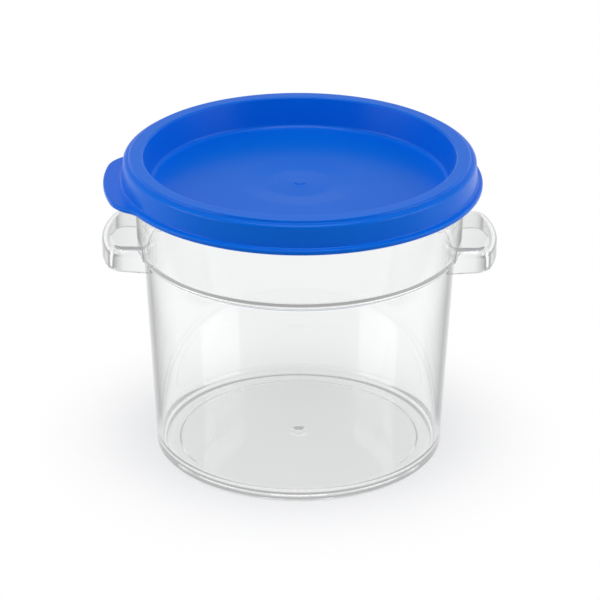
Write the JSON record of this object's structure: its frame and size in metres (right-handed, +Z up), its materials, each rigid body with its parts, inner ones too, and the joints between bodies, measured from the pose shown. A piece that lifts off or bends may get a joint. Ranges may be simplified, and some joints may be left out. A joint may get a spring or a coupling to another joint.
{
  "type": "dough proofing container",
  "caption": "Round clear storage tub with a stepped collar and two side grips, closed by a recessed push-on lid with a pull tab.",
  "frame": {"origin": "centre of the tub's foot, on the surface it stands on", "axes": "+Z up along the tub's axis, X through the two grips with the lid's pull tab towards -X, Y across"},
  "size_m": [0.1808, 0.1662, 0.1432],
  "materials": {
    "clear_polycarbonate": "clear and polished",
    "blue_polyethylene": "satin"
  },
  "bodies": {
    "container": {"container": "clear_polycarbonate"},
    "lid": {"lid": "blue_polyethylene"}
  },
  "joints": [
    {"name": "lid_lift", "type": "slide", "parent": "container", "child": "lid", "axis": [0, 0, 1], "range_m": [0, 0.15]}
  ]
}
